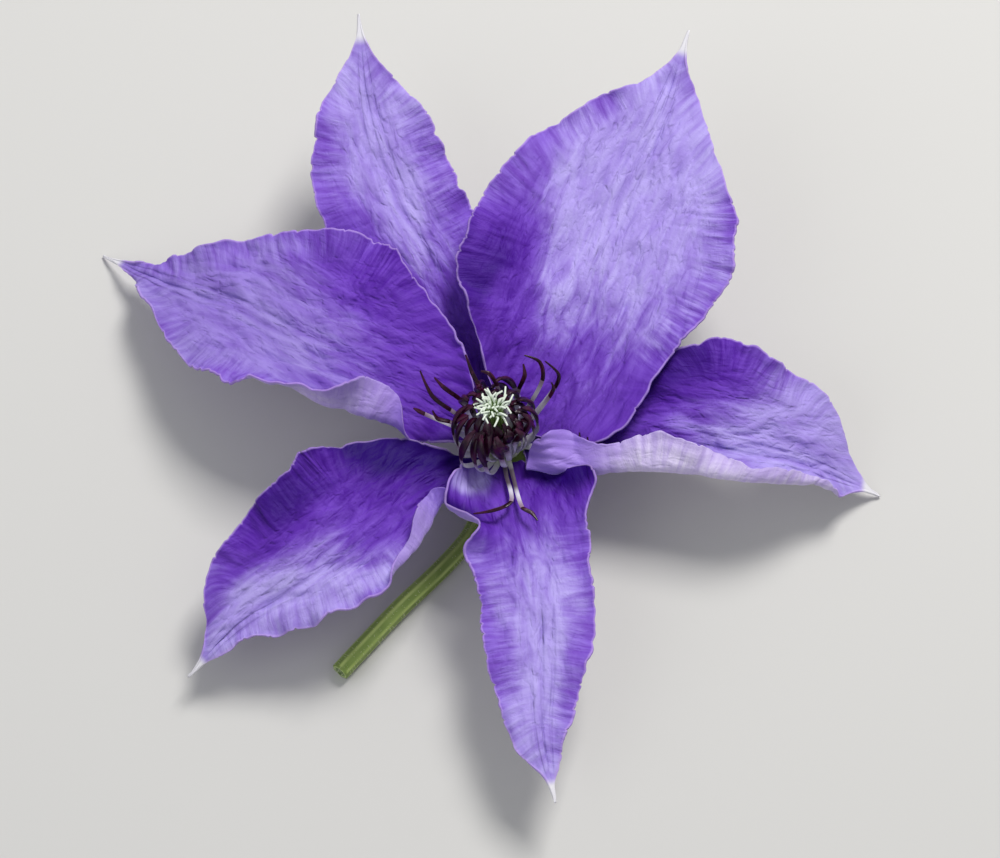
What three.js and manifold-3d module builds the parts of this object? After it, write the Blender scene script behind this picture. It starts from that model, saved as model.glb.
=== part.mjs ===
// A clematis flower, cut with a short stem and lying face up. Millimetres, +Z up.
// Six tepals (the coloured, petal-like blades) stand round a small receptacle on the
// stem. In the middle are the stamens, and inside them the pistil with its pale styles.
import * as THREE from 'three';
import { mergeVertices } from 'three/addons/utils/BufferGeometryUtils.js';
import Module from 'manifold-3d';

const wasm = await Module();
wasm.setup();

// Driving dimensions
const BLOOM = new THREE.Vector3(3.7, -6.8, 0);  // the flower's axis, from the middle of its outline
const FOOT_HEIGHT = 13;                         // where the tepals leave the receptacle
const BLADE = 0.7;                              // thickness of a tepal
const RECEPTACLE_RADIUS = 5.2;
const SEAT_GAP = 0.3;                           // between pieces that rest on each other
const STEM_RADIUS = 1.9;
const RIB_DEPTH = 0.25;                         // the stem's six ribs
const RING_RADIUS = 3.4;                        // the ring that the stamens grow from
const RING_HEIGHT = 1.9;
const OVARY_RADIUS = 1.7;
const STYLE_REACH = 4.3;                        // how far the styles spread at their tips
const STYLE_TOP = 16;                           // above the tepals' feet
const FILAMENT = [1.3, 0.65];                   // width and thickness of a stamen's stalk
const ANTHER = [1.9, 0.75];
const STYLE = 0.6;
const SMALLEST_EDGE = 0.03;

// Where along a tepal its values are given, from its foot (0) to its tip (1)
const WIDTH_STATIONS = [0, 0.05, 0.12, 0.22, 0.36, 0.5, 0.64, 0.78, 0.88, 0.95, 1];
const SHAPE_STATIONS = [0, 0.2, 0.4, 0.6, 0.8, 1];
const WAVE = { height: 0.8, count: 5, lag: 0.2 };  // the gentle wave of the margins
const SHOULDER = { at: 0.06, extent: 0.05 };       // a lobe beside the foot, reaching back

// Each tepal, named by its place as the flower lies. angle is its heading round the axis.
// midrib: distance outwards, shift to the left, height over the foot. left and right are
// the two halves, looking outwards: half width, fold up from the midrib, and curl, which
// the margin adds to the fold (all in degrees). The curl grows by a power of the way to the
// margin, or, where a hem is turned over, between two distances from the midrib.
// lifts: place, reach and height of a lobe. shoulder: how far the blade reaches back
// beside its foot.
const TEPALS = {
  tepal_upper_left: {
    angle: 108,
    midrib: [
      [4.2, 0, 0], [22, -0.9, 0.5], [40, 1, 2],
      [58.5, 4.6, 5.5], [77, 4.4, 10.5], [95, 0.7, 17],
    ],
    left: {
      width: [1.4, 2.6, 5.5, 10, 15, 16, 15.5, 11.5, 4.8, 1.5, 0.4],
      fold: [0, 4, 5, 5, 5, 0],
      curl: [0, -5, -15, -5, 0, 0],
    },
    right: {
      width: [1.4, 2.6, 5, 8.5, 11.5, 12.5, 12.5, 10.5, 4.6, 1.2, 0.4],
      fold: [0, 4, 5, 5, 5, 0],
      curl: [0, -5, -15, 0, 0, 0],
    },
  },
  tepal_left: {
    angle: 158,
    midrib: [
      [4.2, 0, 0], [22, -2, 3.2], [40.5, -2.3, 5],
      [59, -6.3, 3.3], [78, -9.5, -3], [95.8, -14.8, -12.6],
    ],
    left: {
      width: [1.4, 4.4, 7.8, 16.5, 16.5, 16, 15.5, 8.1, 2.6, 0.8, 0.4],
      fold: [-4, 7, 5, 5, 5, 0],
      curl: [60, 150, 70, 5, 0, 0],
      hem: [7.2, 12.2],
    },
    right: {
      width: [1.4, 5.5, 11.5, 18.5, 26, 25, 17.5, 9, 3, 0.9, 0.4],
      fold: [0, 5, 5, 5, 5, 0],
      curl: [20, 10, 10, 10, 0, 0],
    },
  },
  tepal_upper_right: {
    angle: 62,
    midrib: [
      [4.2, 0, 0.2], [22, -1, 4], [40, 1.3, 6.7],
      [58, 3.6, 9.7], [76, 4.2, 13.5], [93.3, 6.9, 18],
    ],
    left: {
      width: [1.4, 8, 15.5, 22, 26.5, 25, 20, 12, 4.2, 1.1, 0.4],
      fold: [5, 5, 5, 5, 5, 0],
      curl: [20, 20, 15, 10, 0, 0],
    },
    right: {
      width: [1.4, 12.5, 20.5, 21, 25, 26.5, 23, 12, 4.4, 1.3, 0.4],
      fold: [4, 6, 5, 5, 5, 0],
      curl: [10, 20, 10, 10, 0, 0],
      shoulder: 2,
    },
  },
  tepal_right: {
    angle: -3,
    midrib: [
      [4.2, 0, 0], [18, 1.1, 1], [33, 0.9, 3.4],
      [48, -0.6, 2.5], [62.5, -0.3, -4], [75.9, -1.4, -12.6],
    ],
    left: {
      width: [1.4, 2.6, 5.5, 10, 16.5, 22, 19, 15, 7.2, 2.4, 0.4],
      fold: [-6, -1, 12, 20, 20, 0],
      curl: [0, -5, 0, 0, -10, 0],
    },
    right: {
      width: [1.4, 17.5, 13.4, 14.2, 15.3, 13.5, 11, 8, 4, 1, 0.4],
      fold: [14, 3, 4, 15, 20, 0],
      curl: [130, 155, 155, 90, 30, 0],
      shoulder: 1.5,
      hem: [5.6, 10.6],
    },
  },
  tepal_lower: {
    angle: 275,
    midrib: [
      [4.2, 0, 0], [18.5, 2.2, 2.7], [33.5, 3.6, 4],
      [48.5, 3, 3.7], [63, 1.8, 2.2], [77.1, 2.9, 0],
    ],
    left: {
      width: [1.4, 1.6, 14.8, 13.2, 10.8, 10.3, 8, 5.2, 2.6, 0.9, 0.4],
      fold: [-9, -5, 0, 0, 0, 0],
      curl: [30, 50, 10, 0, 0, 0],
      power: 2,
      lifts: [[0.12, 0.04, 3.5]],
      shoulder: 0.3,
    },
    right: {
      width: [1.4, 11, 18.6, 13, 12, 11.5, 10, 7, 3.6, 1, 0.4],
      fold: [3, 6, 0, 0, 0, 0],
      curl: [50, 65, 10, 0, 0, 0],
      power: 2.6,
      lifts: [[0.1, 0.06, 2.5], [0.2, 0.04, 1.5], [0.29, 0.05, -1]],
      shoulder: 3,
    },
  },
  tepal_lower_left: {
    angle: 222,
    midrib: [
      [4.2, 0, 0], [18.5, -3, 2.4], [33.5, -1.5, 4],
      [48.5, -3, 3], [63.5, -6.5, -1.5], [78, -6.6, -7],
    ],
    left: {
      width: [1.4, 2.4, 5.8, 11, 11.5, 10.2, 8.5, 5.1, 2.4, 0.9, 0.4],
      fold: [0, 2, 5, 5, 5, 0],
      curl: [60, 155, 25, 5, 0, 0],
      hem: [4.5, 8],
    },
    right: {
      width: [1.4, 2.8, 6, 14.2, 21, 20.5, 18.5, 13, 4.6, 1, 0.4],
      fold: [0, 2, 5, 5, 5, 0],
      curl: [0, 10, 10, 0, 0, 0],
    },
  },
};
const ROWS = 29;
const ACROSS = [1, 0.92, 0.8, 0.62, 0.35, 0, -0.35, -0.62, -0.8, -0.92, -1];  // from the left margin

// The stem's middle line, from the receptacle down to the floor and out to the cut end
const STEM_LINE = [
  [0, 0, 11.5], [-0.3, -0.8, 8.5], [-2.2, -5, 4.8], [-5, -10.8, 2.4],
  [-7.6, -15.8, 1.9], [-13, -22.4, 1.9], [-20.9, -30.7, 1.9], [-27.8, -38.7, 1.9], [-32.7, -44.5, 1.9],
];
const RECEPTACLE_PROFILE = [
  [0, 6.6], [1.8, 7.2], [2.6, 9], [4.2, 10.6],
  [RECEPTACLE_RADIUS, 11.7], [RECEPTACLE_RADIUS - 0.2, 12.35], [0, 12.35],
];

// Whorls of stamens that close over the pistil: [distance from the axis, height over the feet],
// four places along the stalk and three along the anther that ends it
const WHORLS = [
  {
    count: 18,
    turn: 3,
    stalk: [[2.7, 1], [4.4, 3], [6.2, 5.4], [6.9, 7.8]],
    anther: [[6.4, 10], [5.3, 11.7], [4, 12.3]],
  },
  {
    count: 21,
    turn: 10,
    stalk: [[2.7, 0.7], [5.4, 2.5], [7.8, 4.2], [8.8, 6.8]],
    anther: [[8.8, 9.6], [7.5, 12], [5.6, 13.3]],
  },
];
// Outer stamens, splayed, each with its own bends: heading of the root, end of the stalk,
// and two places on the thin curled anther, all from the axis at the height of the feet
const SPLAYED = [
  { root: 165, end: [-16, 3.4, 7.2], anther: [[-17.2, 3.8, 7.8], [-18.2, 4.1, 8.4]] },
  { root: 176, end: [-11, 1.8, 7], anther: [[-13.4, 2, 8], [-14.4, 3.2, 9.2]] },
  { root: 150, end: [-10.8, 3.4, 9], anther: [[-14.4, 5, 12], [-16.8, 8.6, 16]] },
  { root: 128, end: [-8.8, 5.4, 9.5], anther: [[-12, 6.2, 13.2], [-14, 7.6, 15]] },
  { root: 108, end: [-4.6, 6.2, 12], anther: [[-6.4, 8.4, 15], [-7.8, 11.4, 17.5]] },
  { root: 92, end: [-1.6, 7, 12.6], anther: [[-3.2, 8.4, 15.2], [-4.8, 8.8, 15.4]] },
  { root: 75, end: [2.8, 7.4, 10.5], anther: [[3.9, 8.4, 14.4], [3.6, 10, 16.2]] },
  { root: 60, end: [7.4, 8, 13], anther: [[6.8, 10.2, 16.8], [3.8, 11, 18]] },
  { root: 42, end: [9.9, 7.2, 11.5], anther: [[10.6, 8.6, 14.5], [7.9, 10.2, 17]] },
  { root: 28, end: [8.8, 5.6, 10.5], anther: [[9.6, 6.4, 12.6], [9.2, 7, 14]] },
  { root: -6, end: [12, -2, 2.6], anther: [[14.6, -1.6, 4.2], [14.8, 0, 5.8]] },
  { root: -14, end: [13, -3, 2.8], anther: [[16.2, -2.6, 4], [16.4, -0.8, 5.4]] },
  { root: 262, end: [1.2, -15, 5.4], anther: [[-2.4, -17.4, 6.4], [-6.2, -18.8, 7.9]] },
  { root: 280, end: [3.4, -16.2, 5.2], anther: [[5.2, -17.4, 5.4], [6.4, -19.2, 5.6]] },
];
const CROWDED = { angle: -0.75, amount: 0.62, height: 12 };
const STYLES = 26;

const radians = THREE.MathUtils.degToRad;

// A number from 0 to 1 that looks random, the same on every run
function chance(index, use) {
  const value = Math.sin(index * 12.9898 + use * 78.233) * 43758.5453;
  return value - Math.floor(value);
}

function spread(index, use, reach) {
  return (2 * chance(index, use) - 1) * reach;
}

// A smooth curve through values given at stations
function smooth(stations, values, at) {
  let i = 0;
  while (i < stations.length - 2 && at > stations[i + 1]) i += 1;
  const last = stations.length - 1;
  const slope = (k) => {
    const a = Math.max(k - 1, 0);
    const b = Math.min(k + 1, last);
    return (values[b] - values[a]) / (stations[b] - stations[a]);
  };
  const span = stations[i + 1] - stations[i];
  const t = (at - stations[i]) / span;
  return (2 * t ** 3 - 3 * t ** 2 + 1) * values[i] + (t ** 3 - 2 * t ** 2 + t) * span * slope(i)
    + (3 * t ** 2 - 2 * t ** 3) * values[i + 1] + (t ** 3 - t ** 2) * span * slope(i + 1);
}

// A mesh's geometry with shared corners only, as closed bodies need
function weld(geometry) {
  geometry.deleteAttribute('normal');
  geometry.deleteAttribute('uv');
  return mergeVertices(geometry, 1e-4);
}

function toSolid(geometry) {
  const { Manifold, Mesh } = wasm;
  const vertProperties = Float32Array.from(geometry.attributes.position.array);
  const triVerts = Uint32Array.from(geometry.index.array);
  return new Manifold(new Mesh({ numProp: 3, vertProperties, triVerts }));
}

function toGeometry(solid) {
  const mesh = solid.getMesh();
  const geometry = new THREE.BufferGeometry();
  geometry.setAttribute('position', new THREE.BufferAttribute(Float32Array.from(mesh.vertProperties), 3));
  geometry.setIndex(Array.from(mesh.triVerts));
  return dropSlivers(mergeVertices(geometry, SMALLEST_EDGE / 4));
}

// The triangles that still have three corners of their own
function dropSlivers(geometry) {
  const corners = Array.from(geometry.index.array);
  const kept = [];
  for (let i = 0; i < corners.length; i += 3) {
    const [a, b, c] = corners.slice(i, i + 3);
    if (a !== b && b !== c && c !== a) kept.push(a, b, c);
  }
  geometry.setIndex(kept);
  return geometry;
}

// One solid from many, without the tiny edges that joining leaves, and of that the outer
// skin alone: strands that lie side by side can close off a pocket between them
function fuse(geometries) {
  const whole = geometries.map(toSolid).reduce((sum, next) => sum.add(next));
  const skins = whole.simplify(SMALLEST_EDGE).decompose().sort((a, b) => b.volume() - a.volume());
  return toGeometry(skins[0]);
}

function midribPoint(tepal, along) {
  const coordinate = (axis) => smooth(SHAPE_STATIONS, tepal.midrib.map((p) => p[axis]), along);
  const [out, aside, up] = [0, 1, 2].map(coordinate);
  const turn = radians(tepal.angle);
  return new THREE.Vector3(
    out * Math.cos(turn) - aside * Math.sin(turn),
    out * Math.sin(turn) + aside * Math.cos(turn),
    up + FOOT_HEIGHT,
  );
}

// How far a place on one half lies from the midrib, sideways and upwards: the blade
// leaves the midrib at the fold and turns more and more towards its margin
function halfSection(half, along, reach) {
  const steps = 24;
  const power = half.power ?? 2;
  const fold = smooth(SHAPE_STATIONS, half.fold, along);
  const curl = smooth(SHAPE_STATIONS, half.curl, along);
  const width = Math.max(smooth(WIDTH_STATIONS, half.width, along), 0.25);
  const turned = (v) => (half.hem ? THREE.MathUtils.smoothstep(v * width, ...half.hem) : v ** power);
  const lean = (v) => radians(fold + curl * turned(v));
  let side = 0;
  let rise = 0;
  for (let i = 0; i < steps; i += 1) {
    const step = Math.min(Math.max(reach * steps - i, 0), 1) / steps;
    side += Math.cos(lean((i + 0.5) / steps)) * step * width;
    rise += Math.sin(lean((i + 0.5) / steps)) * step * width;
  }
  const height = WAVE.height * Math.sqrt(Math.sin(Math.PI * along)) * reach ** 3;
  let lift = height * Math.sin(2 * Math.PI * (WAVE.count * along + half.phase + WAVE.lag * reach));
  for (const [at, extent, amount] of half.lifts ?? []) {
    lift += amount * reach ** 2 * Math.exp(-(((along - at) / extent) ** 2));
  }
  return [side - Math.sin(lean(reach)) * lift, rise + Math.cos(lean(reach)) * lift];
}

function tepalPoint(tepal, along, across) {
  const step = 1e-3;
  const ahead = midribPoint(tepal, Math.min(along + step, 1));
  const tangent = ahead.sub(midribPoint(tepal, Math.max(along - step, 0))).normalize();
  const leftward = new THREE.Vector3(0, 0, 1).cross(tangent).normalize();
  const upward = tangent.clone().cross(leftward);
  const half = across < 0 ? { phase: 0.3, ...tepal.right } : { phase: 0, ...tepal.left };
  const [side, rise] = halfSection(half, along, Math.abs(across));
  const back = (half.shoulder ?? 0) * across ** 2 * Math.exp(-(((along - SHOULDER.at) / SHOULDER.extent) ** 2));
  return midribPoint(tepal, along)
    .addScaledVector(leftward, Math.sign(across) * side)
    .addScaledVector(upward, rise)
    .addScaledVector(tangent, -back);
}

// The middle surface as rows of points, thickened to both sides into one closed blade
function tepalGeometry(tepal) {
  const rows = Array.from({ length: ROWS + 1 }, (_, i) => (i / ROWS) ** 1.15);
  const grid = rows.map((along) => ACROSS.map((across) => tepalPoint(tepal, along, across)));
  const columns = ACROSS.length;
  const { clamp } = THREE.MathUtils;
  const at = (i, j) => grid[clamp(i, 0, ROWS)][clamp(j, 0, columns - 1)];
  const points = [];
  for (const side of [1, -1]) {
    for (let i = 0; i <= ROWS; i += 1) {
      for (let j = 0; j < columns; j += 1) {
        const along = at(i + 1, j).clone().sub(at(i - 1, j));
        const over = at(i, j - 1).clone().sub(at(i, j + 1));
        const normal = along.cross(over).normalize();
        points.push(at(i, j).clone().addScaledVector(normal, side * BLADE / 2));
      }
    }
  }
  const geometry = new THREE.BufferGeometry().setFromPoints(points);
  geometry.setIndex(bladeFaces(ROWS, columns));
  return geometry;
}

// Both faces split alike, with a strip round the whole edge
function bladeFaces(rows, columns) {
  const under = (rows + 1) * columns;
  const faces = [];
  const quad = (a, b, c, d) => faces.push(a, b, c, a, c, d);
  for (let i = 0; i < rows; i += 1) {
    for (let j = 0; j < columns - 1; j += 1) {
      const a = i * columns + j;
      const [b, c, d] = [a + 1, a + columns + 1, a + columns];
      faces.push(a, b, c, a, c, d);
      faces.push(a + under, c + under, b + under, a + under, d + under, c + under);
    }
  }
  const rim = [];
  for (let j = 0; j < columns - 1; j += 1) rim.push(j);
  for (let i = 0; i < rows; i += 1) rim.push(i * columns + columns - 1);
  for (let j = columns - 1; j > 0; j -= 1) rim.push(rows * columns + j);
  for (let i = rows; i > 0; i -= 1) rim.push(i * columns);
  rim.forEach((a, k) => {
    const b = rim[(k + 1) % rim.length];
    quad(b, a, a + under, b + under);
  });
  return faces;
}

function stemGeometry() {
  const path = new THREE.CatmullRomCurve3(STEM_LINE.map((p) => new THREE.Vector3(...p)));
  const outline = new THREE.Shape();
  for (let i = 0; i < 12; i += 1) {
    const radius = STEM_RADIUS - (i % 2) * RIB_DEPTH;
    const angle = (i / 12) * 2 * Math.PI;
    const corner = [radius * Math.cos(angle), radius * Math.sin(angle)];
    if (i === 0) outline.moveTo(...corner);
    else outline.lineTo(...corner);
  }
  const stalk = new THREE.ExtrudeGeometry(outline, { steps: 30, bevelEnabled: false, extrudePath: path });
  const profile = RECEPTACLE_PROFILE.map((p) => new THREE.Vector2(...p));
  const receptacle = new THREE.LatheGeometry(profile, 18).rotateX(Math.PI / 2);
  return fuse([weld(stalk), weld(receptacle)]);
}

// A thin flat strand through points; sizes gives its width and thickness at each
function strand(points, sizes) {
  const corners = [];
  points.forEach((point, i) => {
    const ahead = points[Math.min(i + 1, points.length - 1)];
    const behind = points[Math.max(i - 1, 0)];
    const tangent = ahead.clone().sub(behind).normalize();
    const wide = tangent.clone().cross(new THREE.Vector3(point.x, point.y, 0.01)).normalize();
    const thick = tangent.clone().cross(wide);
    for (const [a, b] of [[1, 1], [-1, 1], [-1, -1], [1, -1]]) {
      const corner = point.clone().addScaledVector(wide, a * sizes[i][0] / 2);
      corners.push(corner.addScaledVector(thick, b * sizes[i][1] / 2));
    }
  });
  const faces = [0, 2, 1, 0, 3, 2];
  for (let i = 0; i < points.length - 1; i += 1) {
    for (let k = 0; k < 4; k += 1) {
      const [a, b] = [4 * i + k, 4 * i + ((k + 1) % 4)];
      faces.push(a, b, b + 4, a, b + 4, a + 4);
    }
  }
  const last = 4 * (points.length - 1);
  faces.push(last, last + 1, last + 2, last, last + 2, last + 3);
  const geometry = new THREE.BufferGeometry().setFromPoints(corners);
  geometry.setIndex(faces);
  return geometry;
}

// The middle of the stamens leans a little, away from the lower tepal
function axisAt(height) {
  const aside = Math.min(height / 2, 1);
  return new THREE.Vector3(-0.16 * height, (0.2 * height - 1.6) * aside, FOOT_HEIGHT + height);
}

function onWhorl([radius, height], angle) {
  const offset = new THREE.Vector3(radius * Math.cos(angle), radius * Math.sin(angle), 0);
  return axisAt(height).add(offset);
}

// The stalks stand steeper where the right tepal's rolled margin crowds them
function crowded(angle, height) {
  const away = Math.cos(angle - CROWDED.angle);
  const low = THREE.MathUtils.clamp((CROWDED.height - height) / 4, 0, 1);
  return 1 - CROWDED.amount * low * Math.max(away, 0) ** 2;
}

function whorlStamens({ count, turn, stalk, anther }, whorl) {
  return Array.from({ length: count }, (_, i) => {
    const seed = 100 * whorl + i;
    const angle = radians(turn + (i / count) * 360 + spread(seed, 1, 5));
    const swing = radians(spread(seed, 2, 9));
    const size = 1 + spread(seed, 3, 0.03);
    const places = [...stalk, ...anther];
    const points = places.map(([radius, height], k) => {
      const reach = Math.max(radius * size * crowded(angle, height), RING_RADIUS - 0.8);
      return onWhorl([reach, height * size], angle + swing * (k / 6) ** 2);
    });
    return strand(points, stamenSizes(stalk.length, anther.length));
  });
}

function stamenSizes(stalk, anther) {
  const sizes = Array.from({ length: stalk }, () => FILAMENT);
  for (let i = 0; i < anther; i += 1) sizes.push(i === anther - 1 ? [0.7, 0.6] : ANTHER);
  return sizes;
}

function splayedStamen({ root, end, anther }) {
  const angle = radians(root);
  const foot = new THREE.Vector3(2.8 * Math.cos(angle), 2.8 * Math.sin(angle), FOOT_HEIGHT + 1.4);
  const tip = new THREE.Vector3(end[0], end[1], FOOT_HEIGHT + end[2]);
  const knee = foot.clone().lerp(tip, 0.45).add(new THREE.Vector3(0, 0, -0.06 * foot.distanceTo(tip)));
  const tail = anther.map(([x, y, h]) => new THREE.Vector3(x, y, FOOT_HEIGHT + h));
  return strand([foot, knee, tip, ...tail], [FILAMENT, FILAMENT, [1.1, 0.65], [0.9, 0.65], [0.6, 0.6]]);
}

function stamenGeometry() {
  const floor = FOOT_HEIGHT - BLADE / 2;
  const inner = OVARY_RADIUS + SEAT_GAP;
  const profile = [
    [inner, floor], [RING_RADIUS, floor], [RING_RADIUS, floor + RING_HEIGHT * 0.6],
    [RING_RADIUS - 0.6, floor + RING_HEIGHT], [inner, floor + RING_HEIGHT], [inner, floor],
  ];
  const ring = new THREE.LatheGeometry(profile.map((p) => new THREE.Vector2(...p)), 18).rotateX(Math.PI / 2);
  return fuse([weld(ring), ...WHORLS.flatMap(whorlStamens), ...SPLAYED.map(splayedStamen)]);
}

// The pistil: a small ovary and the styles, which stand close and spread like a star
function pistilGeometry() {
  const floor = FOOT_HEIGHT - BLADE / 2;
  const top = FOOT_HEIGHT + STYLE_TOP * 0.55;
  const profile = [[0, floor], [OVARY_RADIUS, floor], [OVARY_RADIUS, floor + 3], [1.2, top - 1], [0, top]];
  const ovary = new THREE.LatheGeometry(profile.map((p) => new THREE.Vector2(...p)), 10).rotateX(Math.PI / 2);
  const styles = Array.from({ length: STYLES }, (_, i) => {
    const outward = Math.sqrt((i + 0.5) / STYLES);
    const angle = i * radians(137.5) + spread(i, 4, 0.15);
    const top = STYLE_TOP - 1.6 * outward ** 2 + spread(i, 5, 0.4);
    const places = [
      [0.6 * outward, 4], [1.3 * outward, 10], [1.9 * outward, top - 1.2], [STYLE_REACH * outward, top],
    ];
    return strand(places.map((place) => onWhorl(place, angle)), places.map(() => [STYLE, STYLE]));
  });
  return fuse([weld(ovary), ...styles]);
}

function piece(name, geometry, color, roughness) {
  geometry.translate(BLOOM.x, BLOOM.y, BLOOM.z);
  geometry.computeVertexNormals();
  const mesh = new THREE.Mesh(geometry, new THREE.MeshStandardMaterial({ color, roughness, metalness: 0 }));
  mesh.name = name;
  return mesh;
}

const group = new THREE.Group();
group.name = 'clematis_flower';
for (const [name, tepal] of Object.entries(TEPALS)) {
  group.add(piece(name, tepalGeometry(tepal), 0x6a50c4, 0.6));
}
group.add(piece('stem', stemGeometry(), 0x6f8a3d, 0.7));
group.add(piece('stamens', stamenGeometry(), 0x3a1230, 0.5));
group.add(piece('pistil', pistilGeometry(), 0xdcead8, 0.6));

export default group;
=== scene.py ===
# %% [markdown]
# # A clematis flower
# A clematis has no true petals. The six large violet blades are tepals, and they stand
# round a small green receptacle at the end of the stem. In the middle are the stamens,
# white stalks that end in dark anthers, and inside them the pistil with its pale styles.
# The solids in the frame give every piece its size and place. This script makes a finer
# piece for each of them, and gives it its colours.

# %% Load the frame
import math
import bpy
import numpy as np
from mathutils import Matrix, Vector, noise


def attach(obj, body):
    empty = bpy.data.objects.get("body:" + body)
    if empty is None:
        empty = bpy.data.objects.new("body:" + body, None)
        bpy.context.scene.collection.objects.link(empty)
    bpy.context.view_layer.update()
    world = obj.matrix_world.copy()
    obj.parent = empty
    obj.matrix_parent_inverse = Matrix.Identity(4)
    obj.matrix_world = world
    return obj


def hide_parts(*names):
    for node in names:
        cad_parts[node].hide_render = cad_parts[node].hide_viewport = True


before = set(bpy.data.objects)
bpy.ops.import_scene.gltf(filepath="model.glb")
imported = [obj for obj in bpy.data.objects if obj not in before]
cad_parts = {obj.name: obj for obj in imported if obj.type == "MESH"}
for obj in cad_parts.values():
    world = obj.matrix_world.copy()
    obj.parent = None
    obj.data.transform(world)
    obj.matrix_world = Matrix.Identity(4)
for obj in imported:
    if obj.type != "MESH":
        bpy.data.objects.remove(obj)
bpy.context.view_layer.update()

MM = 0.001

# %% [markdown]
# ## The camera
# The flower lies face up, so the camera looks down on it, from 64 degrees above the
# floor. It stands well back with a long lens, as a photographer of flowers does: the
# near tepals then aren't drawn larger than the far ones. It is aimed at a point just
# above the middle of the flower, because the stamens stand up towards it.

# %% Place the camera
BLOOM = np.array([3.7, -6.8, 0.0])     # the flower's axis, in millimetres
FOOT_HEIGHT = 13.0                     # where the tepals leave the receptacle
CAMERA_ELEVATION = math.radians(64)
CAMERA_DISTANCE = 900 * MM
CAMERA_TARGET = Vector((2.7, -3.9, 14.4)) * MM


def add_object(name, data):
    made = bpy.data.objects.new(name, data)
    bpy.context.scene.collection.objects.link(made)
    return made


camera_data = bpy.data.cameras.new("camera")
camera_data.lens = 162
camera_data.sensor_width = 36
camera = add_object("camera", camera_data)
back = Vector((0, -math.cos(CAMERA_ELEVATION), math.sin(CAMERA_ELEVATION)))
camera.location = CAMERA_TARGET + back * CAMERA_DISTANCE
camera.rotation_euler = (math.pi / 2 - CAMERA_ELEVATION, 0, 0)
bpy.context.scene.camera = camera
print("camera stands at", tuple(round(v, 3) for v in camera.location))

# %% [markdown]
# ## Small helpers for materials
# A procedural material is a network of nodes. With a few helpers, a sum, a smooth step, a
# mix of two colours and a number that the mesh holds are one call each. A socket knows the
# network that it is in, so most calls needn't name it. Colours are written in the ordinary
# 0 to 255 values, and turned into the linear light that a shader needs.

# %% Node helpers
def add_node(tree, kind, inputs=None, **settings):
    """A node of one kind. A socket in inputs is linked, and anything else is a value."""
    made = tree.nodes.new(kind)
    for name, value in settings.items():
        setattr(made, name, value)
    for key, value in (inputs or {}).items():
        if isinstance(value, bpy.types.NodeSocket):
            tree.links.new(value, made.inputs[key])
        else:
            made.inputs[key].default_value = value
    return made


def maths(operation, *values, clamp=False):
    """A sum with sockets and numbers."""
    tree = next(v.id_data for v in values if isinstance(v, bpy.types.NodeSocket))
    inputs = dict(enumerate(values))
    return add_node(tree, "ShaderNodeMath", inputs, operation=operation, use_clamp=clamp).outputs[0]


def times(*values, clamp=False):
    """The first number times the second, and a third is added where there is one."""
    return maths("MULTIPLY" if len(values) == 2 else "MULTIPLY_ADD", *values, clamp=clamp)


def less(first, second):
    return maths("SUBTRACT", first, second)


def opposite(mask):
    """1 where the mask is 0, and 0 where it is 1."""
    return less(1.0, mask)


def fade(value, start, end, low=0.0, high=1.0):
    """Goes smoothly from low to high while the value goes from start to end."""
    inputs = {"Value": value, "From Min": start, "From Max": end, "To Min": low, "To Max": high}
    made = add_node(value.id_data, "ShaderNodeMapRange", inputs, interpolation_type="SMOOTHSTEP")
    return made.outputs["Result"]


def colour(*values):
    """Linear light from red, green and blue between 0 and 255."""
    linear = [((v / 255 + 0.055) / 1.055) ** 2.4 if v > 10 else v / 255 / 12.92 for v in values]
    return (*linear, 1.0)


def blend(amount, first, second):
    """The first colour where the amount is 0, the second where it is 1."""
    made = add_node(amount.id_data, "ShaderNodeMix", data_type="RGBA")
    for key, value in (("Factor", amount), ("A", first), ("B", second)):
        socket = next(s for s in made.inputs if s.name == key and s.enabled)
        if isinstance(value, tuple):
            socket.default_value = colour(*value)
        else:
            amount.id_data.links.new(value, socket)
    return next(s for s in made.outputs if s.enabled)


def measure(tree, name):
    """A number that is stored at every point of the mesh."""
    return add_node(tree, "ShaderNodeAttribute", attribute_name=name).outputs["Fac"]


def new_material(name, inputs):
    """A material, its network, and its shader with these inputs."""
    material = bpy.data.materials.new(name)
    material.use_nodes = True
    shader = material.node_tree.nodes["Principled BSDF"]
    for key, value in inputs.items():
        shader.inputs[key].default_value = value
    return material, material.node_tree, shader


print("helpers ready")

# %% [markdown]
# ## Floor and light
# The flower lies on a plain pale floor. A large soft light stands high on the right, and a
# weaker one on the left and the pale surroundings keep the shadows open, as on a bright
# overcast day. The plain view transform keeps the violet as saturated as on the flower.

# %% Make the floor and the lights
def select_only(*pieces):
    """Selects these pieces and nothing else, and makes the first of them active."""
    bpy.ops.object.select_all(action="DESELECT")
    for piece in pieces:
        piece.select_set(True)
    if pieces:
        bpy.context.view_layer.objects.active = pieces[0]


def primitive(add, **settings):
    """A primitive, with its place and size applied, so that its object is at the origin."""
    select_only()
    add(**settings)
    bpy.ops.object.transform_apply(location=True, rotation=True, scale=True)
    return bpy.context.object


floor = primitive(bpy.ops.mesh.primitive_plane_add, size=3.0)
floor.name = "floor"
paper = {"Base Color": colour(206, 205, 202), "Roughness": 0.85}
floor.data.materials.append(new_material("floor_paper", paper)[0])


def add_light(name, place, size, power, tint):
    data = bpy.data.lights.new(name, "AREA")
    data.size = size
    data.energy = power
    data.color = tint
    light = add_object(name, data)
    light.location = place
    light.rotation_euler = Vector(place).to_track_quat("Z", "Y").to_euler()


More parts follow.
